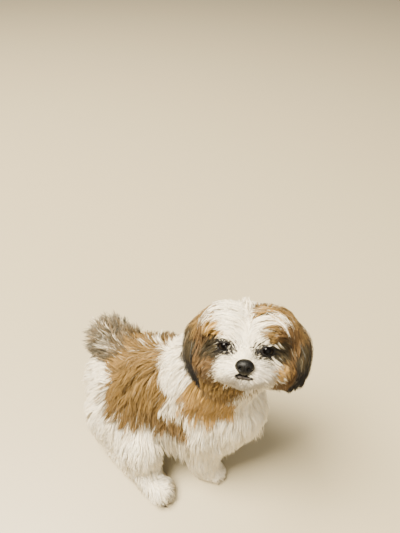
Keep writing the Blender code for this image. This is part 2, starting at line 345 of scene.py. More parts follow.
HEAD_PATCHES = (
    # Ash: partly greyer hair, partly painted shade, most of all on the left side of the muzzle
    ("ash_and_painted_shade", (22, -60, -14), (22, 18, 15), 0.80),
    ("ash_and_painted_shade", (-16, -62, -22), (13, 14, 8), 0.80),
    ("ash_and_painted_shade", (0, -56, -32), (26, 18, 12), 0.60),
    ("amber_and_painted_light", (37, -28, 44), (14, 16, 10), 0.80),
    ("amber_and_painted_light", (27, -14, 58), (20, 20, 13), 0.60),
    ("brown", (63, -20, 4), (37, 46, 46), 0.30),
    ("brown", (-60, -24, 0), (39, 46, 47), 0.30),
    ("amber_and_painted_light", (-44, -40, 26), (14, 15, 11), 0.70),
    ("gold", (50, 4, 44), (26, 34, 28), 0.40),
    ("gold", (-60, 6, 34), (20, 34, 24), 0.40),
    ("gold", (25, -4, 61), (23, 23, 15), 0.45),
    ("gold", (34, -46, 31), (19, 16, 13), 0.35),
    ("brown", (44, -38, 30), (12, 15, 12), 0.50),
    ("olive", (-44, -42, 2), (17, 18, 19), 0.50),
    ("olive", (46, -42, 9), (15, 16, 12), 0.50),
    ("amber_and_painted_light", (46, -50, -12), (13, 15, 12), 0.70),
    ("brown", (-46, -34, -30), (19, 26, 16), 0.45),
    ("brown", (-43, -52, -9), (12, 15, 15), 0.50),
    ("brown", (50, -34, -28), (17, 26, 16), 0.45),
    # Gold under the jaw, reaching past the middle: partly the throat's gold, partly painted shadow under the
    # chin
    ("gold", (-40, -8, -50), (50, 46, 22), 0.30),
    ("white", (0, 40, -6), (66, 30, 70), 0.35),
    ("olive", (-32, -48, 13), (20, 15, 11), 0.70),
    ("olive", (31, -48, 12), (22, 15, 11), 0.70),
    # Ash round the mouth: partly greyer hair, partly painted shade
    ("ash_and_painted_shade", (1, -64, -18), (12, 12, 6), 0.70),
    ("black", (-27, -48, 13), (17, 13, 11), 0.50),
    ("black", (26, -48, 13), (18, 13, 11), 0.50),
)
EAR_PATCHES = (
    ("brown", (0, 0, 0), (400, 400, 400), 0.10),
    ("gold", (0, 0, 50), (200, 200, 30), 0.50),
    ("olive", (0, 0, -6), (200, 200, 30), 0.60),
    ("black", (0, -24, -36), (200, 80, 26), 0.40),
)
BODY_PATCHES = (
    ("gold", (-62, 62, 160), (60, 44, 58), 0.25),
    ("gold", (-35, 50, 210), (54, 46, 42), 0.25),
    ("gold", (-66, 16, 196), (36, 32, 46), 0.25),
    ("gold", (-82, 16, 152), (36, 44, 32), 0.30),
    ("gold", (-78, -32, 150), (28, 34, 32), 0.30),
    ("gold", (6, 88, 196), (34, 34, 30), 0.45),
    ("gold", (-24, 92, 188), (36, 28, 30), 0.35),
    # Amber on the neck: gold lightened as painted light, where the head shades the neck
    ("amber_and_painted_light", (-60, -80, 232), (37, 41, 49), 0.35),
    ("gold", (64, 66, 174), (58, 44, 42), 0.30),
    ("gold", (56, 24, 206), (40, 34, 34), 0.30),
    ("gold", (88, 34, 158), (26, 22, 24), 0.40),
    # Amber on the neck: gold lightened as painted light, where the head shades the neck
    ("amber_and_painted_light", (60, -84, 244), (36, 34, 44), 0.35),
    ("amber_and_painted_light", (66, -66, 208), (22, 24, 26), 0.45),
    ("brown", (14, 26, 236), (9, 9, 12), 0.40),
)
TAIL_PATCHES = (
    ("olive", (0, 120, 190), (400, 400, 400), 0.10),
    ("gold", (8, 88, 198), (40, 24, 34), 0.60),
    ("white", (-12, 122, 192), (10, 9, 9), 0.35),
)
PATCHES = {
    "head": HEAD_PATCHES, "tuft": HEAD_PATCHES, "ear": EAR_PATCHES, "body": BODY_PATCHES, "tail": TAIL_PATCHES
}
ON_HEAD = ("head", "tuft", "ear")
# How far the patches' edges wander, as a share of their radii, over what size in mm, and their first seed
EDGE_WANDER, WANDER_SIZE, WANDER_SEED = 0.14, 34, 40
EDGE_WIDTH = 0.35


def part_of(node):
    """Which set of patches and strokes a node of flesh takes."""
    first = node.split("_")[0]
    return first if first in ("head", "ear", "tail") else "body"


def marking(points, part, dither=0.0):
    """The coat's colour at each point. Dither, from -1 to 1, lets a lock belong to a patch's other side."""
    coat = settings()[1]
    places = to_head(points) if part in ON_HEAD else (points - (MIDLINE, 0, 0)) / MM
    colours = np.tile(np.array(coat.white), (len(points), 1))
    for i, (shade, middle, radii, soft) in enumerate(PATCHES[part]):
        reach = np.linalg.norm((places - middle) / radii, axis=1)
        reach = reach + EDGE_WANDER * wander(places, WANDER_SIZE, WANDER_SEED + i) + dither * soft
        share = ramp(1 + soft * EDGE_WIDTH, 1 - soft * EDGE_WIDTH, reach)
        colours = laid_over(colours, getattr(coat, shade), share)
    return colours


# Combing: strokes on the skin that say where the hair there points, how long it is and how far it stands up.
# Each is a place, a direction, a length and a lift, in mm. All but the tail's are for the dog's left side.

HEAD_STROKES = (
    ((0, -50, 12), (0.20, -0.25, 0.90), 9, 0.20),
    ((7, -48, 22), (0.45, -0.40, 0.80), 30, 0.40),
    ((8, -42, 40), (0.80, -0.25, 0.50), 50, 0.40),
    ((6, -24, 57), (0.90, -0.15, 0.30), 54, 0.45),
    ((0, -18, 60), (0.25, -0.15, 0.95), 26, 0.90),
    ((25, -38, 46), (0.92, -0.10, 0.05), 50, 0.35),
    ((42, -30, 42), (0.75, -0.05, -0.65), 46, 0.30),
    ((54, -22, 28), (0.35, -0.10, -0.95), 42, 0.30),
    ((58, -22, 5), (0.15, -0.15, -1.0), 36, 0.30),
    ((55, -28, -20), (0.10, -0.20, -1.0), 30, 0.30),
    ((19, -50, 22), (0.65, -0.20, 0.45), 10, 0.25),
    ((16, -52, 14), (0.30, -0.25, 0.80), 6, 0.20),
    ((31, -48, 24), (0.60, -0.50, -0.60), 15, 0.60),
    ((40, -44, 20), (0.75, -0.30, -0.60), 18, 0.45),
    ((26, -56, 3), (0.80, 0.15, -0.35), 12, 0.15),
    ((38, -48, 4), (0.80, 0.15, -0.55), 18, 0.20),
    ((13, -58, 7), (0.60, 0.20, 0.50), 8, 0.15),
    ((14, -68, -4), (0.90, 0.10, -0.10), 12, 0.20),
    ((24, -66, -8), (0.75, 0.40, -0.45), 16, 0.22),
    ((32, -56, -14), (0.60, 0.35, -0.70), 20, 0.25),
    ((3, -72, -11), (0.95, -0.10, -0.10), 4, 0.20),
    ((8, -71, -13), (0.95, -0.05, -0.20), 7, 0.25),
    ((14, -69, -15), (0.85, 0.10, -0.45), 13, 0.28),
    ((18, -66, -20), (0.55, 0.10, -0.85), 22, 0.30),
    ((2, -66, -21), (0.20, -0.60, -0.75), 4, 0.40),
    ((7, -64, -27), (0.20, -0.45, -0.90), 14, 0.50),
    ((0, -55, -34), (0.05, -0.30, -1.0), 20, 0.40),
    ((40, -40, -30), (0.40, -0.20, -0.90), 28, 0.40),
    ((0, 5, 62), (0.25, 0.95, 0.15), 42, 0.40),
    ((30, 20, 48), (0.50, 0.70, -0.40), 42, 0.35),
    ((0, 50, 20), (0.05, 0.60, -0.80), 42, 0.35),
    ((45, 35, 10), (0.30, 0.40, -0.90), 42, 0.30),
    ((0, 45, -30), (0.05, 0.30, -1.0), 42, 0.35),
    ((0, -10, -50), (0.10, -0.20, -1.0), 22, 0.35),
)
EAR_STROKES = (
    ((52, -8, 34), (0.55, -0.05, -0.80), 44, 0.30),
    ((70, -8, 14), (0.12, -0.05, -1.0), 44, 0.25),
    ((72, -8, -10), (-0.05, -0.08, -1.0), 27, 0.25),
    ((64, -10, -34), (-0.15, -0.10, -1.0), 12, 0.20),
    ((66, 14, 10), (0.10, 0.10, -1.0), 42, 0.25),
    ((62, 14, -24), (-0.10, 0.10, -1.0), 18, 0.20),
)
BODY_STROKES = (
    ((3, 62, 212), (0.70, 0.45, -0.25), 44, 0.40),
    ((6, 86, 200), (0.20, 0.80, 0.45), 40, 0.35),
    ((24, 92, 186), (-0.10, 0.90, 0.40), 44, 0.35),
    ((3, 15, 238), (0.70, 0.45, -0.20), 44, 0.40),
    ((35, 60, 205), (0.75, 0.00, -0.62), 48, 0.35),
    ((40, 0, 225), (0.75, -0.05, -0.65), 50, 0.35),
    ((70, 60, 165), (0.35, -0.10, -0.95), 52, 0.30),
    ((80, 0, 160), (0.18, -0.15, -1.0), 52, 0.30),
    ((76, -50, 170), (0.15, 0.02, -1.0), 50, 0.30),
    ((80, 30, 120), (0.10, -0.15, -1.0), 40, 0.30),
    ((0, 128, 178), (0.20, 0.85, -0.50), 38, 0.35),
    ((50, 128, 140), (0.40, 0.50, -0.85), 42, 0.30),
    ((3, 165, 110), (0.05, 0.40, -1.0), 42, 0.30),
    ((3, 160, 45), (0.05, 0.20, -1.0), 30, 0.30),
    ((3, -145, 200), (0.15, -0.35, -1.0), 46, 0.30),
    ((3, -160, 160), (0.05, -0.20, -1.0), 44, 0.30),
    ((50, -125, 190), (0.30, -0.10, -1.0), 46, 0.30),
    ((50, -130, 130), (0.10, -0.10, -1.0), 38, 0.25),
    ((52, -60, 240), (0.55, 0.20, -0.85), 50, 0.35),
    ((20, -10, 245), (0.50, 0.65, -0.50), 46, 0.40),
    ((58, -95, 265), (0.40, -0.10, -1.0), 46, 0.30),
    ((105, 40, 110), (0.35, 0.00, -1.0), 36, 0.30),
    ((120, 10, 62), (0.20, -0.10, -1.0), 28, 0.30),
    ((115, -20, 46), (0.12, -0.45, -0.90), 20, 0.30),
    ((112, -45, 34), (0.05, -0.90, -0.45), 13, 0.30),
    ((120, 70, 50), (0.30, 0.30, -1.0), 30, 0.30),
    ((55, -75, 80), (0.15, 0.10, -1.0), 26, 0.30),
    ((50, -112, 60), (0.10, -0.15, -1.0), 18, 0.30),
    ((46, -128, 22), (0.05, -0.80, -0.55), 10, 0.30),
    ((30, 0, 60), (0.10, 0.00, -1.0), 24, 0.30),
)
TAIL_STROKES = (
    ((-2, 100, 180), (0.05, 0.65, 0.70), 40, 0.20),
    ((-14, 102, 186), (-0.10, 0.85, 0.40), 40, 0.20),
    ((-14, 112, 196), (-0.25, 0.60, 0.75), 46, 0.25),
    ((-14, 136, 184), (-0.45, 0.85, -0.05), 42, 0.30),
    ((-6, 146, 172), (-0.25, 0.85, -0.35), 38, 0.30),
    ((4, 106, 214), (0.20, 0.35, 0.95), 48, 0.30),
    ((14, 126, 218), (0.35, 0.50, 0.85), 52, 0.35),
    ((12, 146, 196), (0.25, 0.85, 0.45), 48, 0.35),
    ((28, 118, 200), (0.70, 0.30, 0.65), 48, 0.30),
    ((24, 104, 180), (0.60, 0.15, 0.60), 40, 0.25),
    ((10, 130, 155), (0.30, 0.80, -0.10), 34, 0.25),
)
TUFT_STROKES = (
    ((4, -8, 62), (0.05, -0.15, 1.0), 34, 1.00),
    ((10, -30, 56), (0.30, -0.30, 0.90), 22, 0.90),
)
STROKES = {
    "head": HEAD_STROKES, "tuft": TUFT_STROKES, "ear": EAR_STROKES, "body": BODY_STROKES, "tail": TAIL_STROKES
}


@functools.cache
def strokes(part):
    """A part's places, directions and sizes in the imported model's frame, all but the tail's on both sides."""
    rows = []
    sides = SIDES if part != "tail" else SIDES[:1]
    for (x, y, z), (dx, dy, dz), length, lift in STROKES[part]:
        for side, _ in sides:
            rows.append((x * side, y, z, dx * side, dy, dz, length * MM, lift))
    rows = np.array(rows)
    if part in ON_HEAD:
        places = from_head(rows[:, :3])
        ways = rows[:, 3:6] @ HEAD_TURN.T
    else:
        places = from_body(rows[:, :3])
        ways = rows[:, 3:6]
    return places, unit(ways), rows[:, 6:]


# Within this distance of a stroke, in metres, the hair follows it alone
STROKE_REACH = 0.006


def combed(points, part):
    """The direction, length and lift of the hair at each point, as a blend of the nearest strokes."""
    places, ways, sizes = strokes(part)
    apart = ((points[:, None] - places) ** 2).sum(-1)
    share = 1 / (apart + STROKE_REACH**2) ** 2
    share /= share.sum(1, keepdims=True)
    return unit(share @ ways), share @ sizes


# Eyes: the opening between the lids, as an ellipse in a plane that faces the way the eye looks, in mm

LID_WIDTH = 7.6
LID_HEIGHT = 4.6
LID_SLANT = math.radians(10)
LID_THICKNESS = 1.2
LEFT_EYE_LOOK = (0.20, -0.97, 0.06)
# Farther back than this behind an eye's middle, nothing belongs to its lids
LIDS_BACK = -6


def eye_frame(side):
    """An eye's middle and its outward, upward and forward directions, as places on the head."""
    middle = to_head(np.array(middle_of("eye_left" if side > 0 else "eye_right")))
    forward = unit(np.array(LEFT_EYE_LOOK) * (side, 1, 1))
    outward = unit(np.cross(forward, (0, 0, 1)) * -side)
    outward *= np.sign(outward[0] * side)
    upward = unit(np.cross(outward, forward))
    upward *= np.sign(upward[2])
    return middle, outward, upward, forward


def eye_place(places, side):
    """How far places are outward, upward and forward of an eye, and how far out of its opening."""
    middle, outward, upward, forward = eye_frame(side)
    off = places - middle
    out, up, ahead = off @ outward, off @ upward, off @ forward
    along = out * math.cos(LID_SLANT) - up * math.sin(LID_SLANT)
    over = out * math.sin(LID_SLANT) + up * math.cos(LID_SLANT)
    opening = np.hypot(along / LID_WIDTH, over / LID_HEIGHT)
    return out, up, ahead, opening


def nose_middle():
    """The nose's middle as a place on the head."""
    return to_head(np.array(middle_of("nose")))


# Mouth: the lips' line, the bare skin round it and the bare strip from it up to the nose, in mm

MOUTH_MIDDLE = 1.5
MOUTH_LEVEL = -13.2
MOUTH_CURVE = 0.006
MOUTH_HALF_WIDTH = 9.0
MOUTH_HALF_HEIGHT = 4.0
LOWER_LIP = -1.3
GROOVE_MIDDLE = 0.5
MUZZLE_FRONT = -48
FAR_OUT = 9.0
# Grey of the lower lip: partly its own tone, partly a painted highlight on the black lip
LIP_TONE_AND_HIGHLIGHT = hex_colour("#3A3532")


def mouth_place(places):
    """How far places on the head are above the lips' line, and how far out of the mouth's bare skin."""
    x, y, z = places.T
    x = x - MOUTH_MIDDLE
    above = z - MOUTH_LEVEL - MOUTH_CURVE * x**2
    reach = np.abs(x / MOUTH_HALF_WIDTH) ** 3 + np.abs((above - LOWER_LIP) / MOUTH_HALF_HEIGHT) ** 3
    return above, np.where(y < MUZZLE_FRONT, reach ** (1 / 3), FAR_OUT)


# Materials

def add_node(tree, kind, links=(), **values):
    """Adds a node, sets its sockets and settings, and links it: (its socket, from node, from socket)."""
    node = tree.nodes.new(kind)
    for name, value in values.items():
        if name.startswith("set_"):
            setattr(node, name[4:], value)
        else:
            node.inputs[name.replace("_", " ")].default_value = value
    for socket, source, output in links:
        tree.links.new(source.outputs[output], node.inputs[socket])
    return node


def new_material(name):
    """An empty material with its shader and node tree."""
    material = bpy.data.materials.new(name)
    material.use_nodes = True
    tree = material.node_tree
    return material, tree, tree.nodes["Principled BSDF"]


def hair_material():
    """Dog hair, grown: the markings' colour, streaked lengthwise, with a soft sheen at grazing angles."""
    material, tree, shader = new_material("grown_dog_hair")
    colour = add_node(tree, "ShaderNodeVertexColor", set_layer_name="hair_colour")
    place = add_node(tree, "ShaderNodeUVMap", set_uv_map="strand")
    streak = add_node(tree, "ShaderNodeTexNoise", [("Vector", place, "UV")], Scale=2.0, Detail=2.0)
    shade = add_node(
        tree, "ShaderNodeMapRange", [("Value", streak, "Fac")],
        From_Min=0.3, From_Max=0.7, To_Min=0.86, To_Max=1.06,
    )
    mixed = add_node(tree, "ShaderNodeVectorMath", [(0, colour, "Color")], set_operation="SCALE")
    tree.links.new(shade.outputs["Result"], mixed.inputs["Scale"])
    tree.links.new(mixed.outputs["Vector"], shader.inputs["Base Color"])
    shader.inputs["Roughness"].default_value = 0.65
    shader.inputs["Specular IOR Level"].default_value = 0.15
    shader.inputs["Sheen Weight"].default_value = 0.04
    shader.inputs["Sheen Roughness"].default_value = 0.5
    return material


def skin_material():
    """Skin under the coat: the markings' colour, matt and finely creased, black on rims and lips."""
    material, tree, shader = new_material("creased_dog_skin")
    colour = add_node(tree, "ShaderNodeVertexColor", set_layer_name="hair_colour")
    place = add_node(tree, "ShaderNodeTexCoord")
    grain = add_node(tree, "ShaderNodeTexNoise", [("Vector", place, "Object")], Scale=900.0, Detail=3.0)
    bump = add_node(tree, "ShaderNodeBump", [("Height", grain, "Fac")], Strength=0.25, Distance=0.0005)
    tree.links.new(colour.outputs["Color"], shader.inputs["Base Color"])
    tree.links.new(bump.outputs["Normal"], shader.inputs["Normal"])
    shader.inputs["Roughness"].default_value = 0.5
    shader.inputs["Specular IOR Level"].default_value = 0.15
    return material


def eye_material():
    """A wet eyeball: black pupil, very dark brown iris, black rim and dull white under one gloss."""
    material, tree, shader = new_material("wet_dark_eyeball")
    colour = add_node(tree, "ShaderNodeVertexColor", set_layer_name="eye_colour")
    tree.links.new(colour.outputs["Color"], shader.inputs["Base Color"])
    shader.inputs["Roughness"].default_value = 0.07
    shader.inputs["IOR"].default_value = 1.376
    shader.inputs["Specular IOR Level"].default_value = 0.14
    return material


def nose_material():
    """Nose leather: black, pebbled about every millimetre, with painted shade in the creases between pebbles,
    moist enough for broken highlights.
    """
    material, tree, shader = new_material("pebbled_nose_leather")
    place = add_node(tree, "ShaderNodeTexCoord")
    pebble = add_node(tree, "ShaderNodeTexVoronoi", [("Vector", place, "Object")], Scale=1100.0)
    bump = add_node(
        tree, "ShaderNodeBump", [("Height", pebble, "Distance")],
        Strength=0.5, Distance=0.0004, set_invert=True,
    )
    # Painted shade: the colour darkens towards the creases between the pebbles
    shade = add_node(
        tree, "ShaderNodeMapRange", [("Value", pebble, "Distance")], From_Max=0.8, To_Min=1.0, To_Max=0.45
    )
    tint = add_node(tree, "ShaderNodeVectorMath", set_operation="SCALE")
    tint.inputs[0].default_value = hex_colour("#0F0E0D")
    tree.links.new(shade.outputs["Result"], tint.inputs["Scale"])
    tree.links.new(tint.outputs["Vector"], shader.inputs["Base Color"])
    tree.links.new(bump.outputs["Normal"], shader.inputs["Normal"])
    shader.inputs["Roughness"].default_value = 0.42
    shader.inputs["Specular IOR Level"].default_value = 0.16
    return material


def claw_material():
    """Horn of the claws: dark brown, mottled paler in a fine grain, with a low polish."""
    material, tree, shader = new_material("worn_claw_horn")
    place = add_node(tree, "ShaderNodeTexCoord")
    grain = add_node(tree, "ShaderNodeTexNoise", [("Vector", place, "Object")], Scale=700.0, Detail=2.0)
    tone = add_node(tree, "ShaderNodeValToRGB", [("Fac", grain, "Fac")])
    tone.color_ramp.elements[0].color = (*hex_colour("#1E1815"), 1)
    tone.color_ramp.elements[1].color = (*hex_colour("#4A3C32"), 1)
    tree.links.new(tone.outputs["Color"], shader.inputs["Base Color"])
    shader.inputs["Roughness"].default_value = 0.38
    return material


# Pieces

def fresh_object(name, mesh, material):
    piece = bpy.data.objects.new(name, mesh)
    bpy.context.scene.collection.objects.link(piece)
    mesh.materials.clear()
    mesh.materials.append(material)
    return piece


def select_none():
    bpy.ops.object.select_all(action="DESELECT")


def only(piece):
    """Makes a piece the one that operators act on."""
    select_none()
    piece.select_set(True)
    bpy.context.view_layer.objects.active = piece


def apply_modifier(piece, kind, **values):
    only(piece)
    modifier = piece.modifiers.new(kind.lower(), kind)
    for name, value in values.items():
        setattr(modifier, name, value)
    bpy.ops.object.modifier_apply(modifier=modifier.name)


def paint(mesh, name, colours):
    layer = mesh.color_attributes.new(name, "FLOAT_COLOR", "POINT")
    with_alpha = np.ones((len(colours), 4), np.float32)
    with_alpha[:, :3] = colours
    layer.data.foreach_set("color", with_alpha.ravel())


def copied_nodes(names):
    """The named solids' faces as one mesh, with each solid's loose triangles merged."""
    bm = bmesh.new()
    for name in names:
        bm.from_mesh(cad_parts[name].data)
    bmesh.ops.remove_doubles(bm, verts=bm.verts, dist=0.00001)
    mesh = bpy.data.meshes.new("melted")
    bm.to_mesh(mesh)
    bm.free()
    return mesh


# Size of the faces of the melted solids before they are drawn in, in metres
MELT_VOXEL = 0.003
ALL_SOLIDS = FLESH + ("eye_left", "eye_right", "nose")


@functools.cache
def outline():
    """The surface that the coat's tips reach, as a field of distances."""
    piece = bpy.data.objects.new("outline", copied_nodes(ALL_SOLIDS))
    bpy.context.scene.collection.objects.link(piece)
    apply_modifier(piece, "REMESH", mode="VOXEL", voxel_size=MELT_VOXEL)
    field = NearAndFar(piece.data)
    bpy.data.objects.remove(piece)
    return field


@functools.cache
def flesh_tree():
    """A search tree over all the solids of flesh, and each face's solid."""
    points, faces, owners = [], [], []
    for i, name in enumerate(FLESH):
        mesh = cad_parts[name].data
        faces.append(triangles_of(mesh) + sum(len(p) for p in points))
        points.append(points_of(mesh))
        owners += [i] * len(faces[-1])
    tree = BVHTree.FromPolygons(np.concatenate(points).tolist(), np.concatenate(faces).tolist())
    return tree, np.array(owners)


def nearest_nodes(points):
    """The solid of flesh nearest to each point, as its place in FLESH."""
    tree, owners = flesh_tree()
    return owners[[tree.find_nearest(point)[2] for point in points.tolist()]]


# The middle of the face, and how far from it the face's thinner coat begins and is all, in mm
FACE_MIDDLE = (0, -56, 2)
FACE_EDGE, FACE_CORE = 62, 24


def from_face(points):
    """How far points are from the middle of the face, in mm."""
    return np.linalg.norm(to_head(points) - FACE_MIDDLE, axis=1)


def coat_depth(points, owners):
    """How far the skin lies under the solids at each point, in metres."""
    skin = settings()[0]
    by_node = np.array([getattr(skin, f"{name.split('_')[0]}_depth") for name in FLESH])
    thin = ramp(FACE_EDGE, FACE_CORE, from_face(points)) * (owners == FLESH.index("head"))
    return by_node[owners] * (1 - thin) + skin.face_depth * thin


DRAW_STEPS = 8
DEPTH_BLENDING = 30


def draw_in(mesh):
    """Draws a melted surface inwards by the coat's depth, relaxing it on the way."""
    points = points_of(mesh)
    edges = edges_of(mesh)
    depth = relaxed(coat_depth(points, nearest_nodes(points)), edges, DEPTH_BLENDING)
    for _ in range(DRAW_STEPS):
        points = points - normals_of(mesh) * depth / DRAW_STEPS
        points = relaxed(points, edges, 1)
        move_points(mesh, points)


def select_faces(mesh, chosen):
    """Selects faces by a mask, with their vertices and edges."""
    mesh.polygons.foreach_set("select", chosen)
    corners = np.zeros(len(mesh.vertices), bool)
    totals = read(mesh.polygons, "loop_total")
    corners[read(mesh.loops, "vertex_index")[np.repeat(chosen, totals)]] = True
    mesh.vertices.foreach_set("select", corners)
    mesh.edges.foreach_set("select", corners[edges_of(mesh)].all(1))


def refine(piece, chosen):
    """Splits the chosen faces in four, in edit mode."""
    only(piece)
    select_faces(piece.data, chosen)
    bpy.ops.object.mode_set(mode="EDIT")
    bpy.ops.mesh.select_mode(type="FACE")
    bpy.ops.mesh.subdivide(number_cuts=1, smoothness=0.4)
    bpy.ops.object.mode_set(mode="OBJECT")


# How deep the skin lies under the eyeball inside the opening, and how high its rim is rolled, in mm
SOCKET_DEPTH = 2.5
RIM_ROLL = 0.35


def shape_lids(places):
    """Lays the skin over each eye as a pair of lids, with a rolled rim round the opening."""
    for side, _ in SIDES:
        middle, outward, upward, forward = eye_frame(side)
        out, up, ahead, opening = eye_place(places, side)
        off_axis = np.hypot(out, up)
        near = (off_axis < EYE_RADIUS + 9) & (ahead > LIDS_BACK - 1)
        # Points close to the opening's edge go just inside or just outside it, so that the rim is even
        inner, outer = (opening > 0.86) & (opening <= 1.0), (opening > 1.0) & (opening < 1.10)
        snap = np.where(inner | outer, np.where(inner, 0.985, 1.015) / np.maximum(opening, 0.1), 1.0)
        out, up, off_axis, opening = out * snap, up * snap, off_axis * snap, opening * snap
        socket = np.sqrt(np.maximum(EYE_RADIUS**2 - off_axis**2, 0)) - SOCKET_DEPTH
        lid = np.sqrt(np.maximum((EYE_RADIUS + LID_THICKNESS) ** 2 - off_axis**2, 0))
        lid = lid + RIM_ROLL * hump(opening, 1.12, 0.12)
        away = ramp(EYE_RADIUS - 0.5, EYE_RADIUS + 6, off_axis)
        depth = np.where(opening <= 1.0, socket, np.maximum(lid, ahead) * (1 - away) + ahead * away)
        moved = middle + out[:, None] * outward + up[:, None] * upward + depth[:, None] * forward
        places = np.where(near[:, None], moved, places)
    return places


def shape_mouth(places):
    """Presses the line of the lips and the groove under the nose into the skin, and rounds the lips."""
    x, y, z = places.T
    above, reach = mouth_place(places)
    lips = 2.0 * hump(above, 0.2, 1.0) - 0.8 * hump(above, 3.0, 1.5) - 2.6 * hump(above, -3.0, 1.9)
    groove = hump(x, 0, 0.9) * ramp(-19, -16.5, z) * ramp(-6, -9, z) * ramp(MUZZLE_FRONT, -56, y)
    moved = places.copy()
    moved[:, 1] += lips * ramp(1.7, 0.9, reach) + 1.5 * groove
    return moved


def skin_colours(points, owners):
    """The markings on the skin, with black rims to the eyes and dark lips round a grey lower lip, partly a
    painted highlight.
    """
    colours = np.empty((len(points), 3))
    for i, name in enumerate(FLESH):
        mine = owners == i
        if mine.any():
            colours[mine] = marking(points[mine], part_of(name)) * 0.85
    black = np.array(settings()[1].black) * 0.5
    places = to_head(points)
    for side, _ in SIDES:
        _, _, ahead, opening = eye_place(places, side)
        colours = laid_over(colours, black, ramp(1.50, 1.30, opening) * (ahead > LIDS_BACK))
    x, y, z = places.T
    above, reach = mouth_place(places)
    around = ramp(1.35, 1.15, reach)
    # The lower lip in grey, partly a painted highlight
    colours = laid_over(colours, LIP_TONE_AND_HIGHLIGHT, ramp(0, -0.8, above) * around)
    edge = np.maximum(ramp(-1.6, -0.9, above), ramp(0.72, 0.86, reach)) * around
    groove = ramp(3.4, 2.4, np.abs(x - GROOVE_MIDDLE)) * ramp(-15, -13, z) * ramp(-5, -8, z)
    return laid_over(colours, black, np.maximum(edge, groove * (y < MUZZLE_FRONT)))


# How near the middle of the face the skin is refined, once for each distance, in mm
REFINED_REACHES = (50, 34)
REFINED_BACK = -28
# The widest angle between faces that an unwrap keeps together
UNWRAP_ANGLE = math.radians(66)


class SHIHTZU_OT_skin(bpy.types.Operator):
    """Melts the solids into one skin, draws it in under the coat and shapes lids and lips"""

    bl_idname = "shih_tzu.skin"
    bl_label = "Skin"

    def execute(self, context):
        piece = fresh_object("skin", copied_nodes(ALL_SOLIDS), skin_material())
        apply_modifier(piece, "REMESH", mode="VOXEL", voxel_size=MELT_VOXEL)
        draw_in(piece.data)
        apply_modifier(piece, "REMESH", mode="VOXEL", voxel_size=settings()[0].voxel)
        apply_modifier(piece, "SMOOTH", factor=0.5, iterations=4)
        for reach in REFINED_REACHES:
            middles = face_middles(piece.data)
            refine(piece, (from_face(middles) < reach) & (to_head(middles)[:, 1] < REFINED_BACK))
        places = shape_mouth(shape_lids(to_head(points_of(piece.data))))
        move_points(piece.data, from_head(places))
        points = points_of(piece.data)
        paint(piece.data, "hair_colour", skin_colours(points, nearest_nodes(points)))
        only(piece)
        bpy.ops.object.mode_set(mode="EDIT")
        bpy.ops.mesh.select_all(action="SELECT")
        bpy.ops.uv.smart_project(angle_limit=UNWRAP_ANGLE, island_margin=0.002)
        bpy.ops.object.mode_set(mode="OBJECT")
        piece.data.uv_layers.active.name = "OFBake"
        piece.data.shade_smooth()
        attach(piece, BODY)
        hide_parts(*FLESH)
        return {"FINISHED"}


EYE_WHITE = hex_colour("#CFC4BA")
# Rim, iris and pupil: each one's colour, and its radius and the softness of its edge in mm
EYE_RINGS = (("#060505", 8.2, 0.5), ("#0F0906", 6.8, 0.8), ("#030202", 4.4, 0.8))
CORNEA_RISE = 0.9


class SHIHTZU_OT_eyes(bpy.types.Operator):
    """Turns two eyeballs with a bulging clear front, dark iris and black pupil"""

    bl_idname = "shih_tzu.eyes"
    bl_label = "Eyes"

    def execute(self, context):
        material = eye_material()
        for side, word in SIDES:
            middle, _, _, forward = eye_frame(side)
            look = unit(forward + np.array((-0.10 * side, 0, 0.10)))
            turn = Vector(HEAD_TURN @ look).to_track_quat("Z", "Y").to_matrix().to_4x4()
            select_none()
            bpy.ops.mesh.primitive_uv_sphere_add(segments=48, ring_count=32, radius=EYE_RADIUS * MM)
            piece = bpy.context.object
            piece.name = f"eyeball_{word}"
            points = points_of(piece.data) / MM
            off_axis = np.hypot(points[:, 0], points[:, 1])
            front = points[:, 2] > 0
            colours = np.tile(np.array(EYE_WHITE), (len(points), 1))
            for shade, reach, soft in EYE_RINGS:
                colours = laid_over(colours, hex_colour(shade), ramp(reach + soft, reach, off_axis) * front)
            paint(piece.data, "eye_colour", colours)
            points[:, 2] += np.where(front, CORNEA_RISE * ramp(7.0, 2.0, off_axis), 0)
            move_points(piece.data, points * MM)
            piece.data.transform(Matrix.Translation(from_head(middle)) @ turn)
            piece.data.materials.append(material)
            piece.data.shade_smooth()
            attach(piece, BODY)
            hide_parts(f"eye_{word}")
        return {"FINISHED"}


# Half the nose pad's width, depth and height, in mm, and how far its top is tipped back
NOSE_HALF = (11.3, 8.6, 9.2)
NOSE_TIP = math.radians(-8)


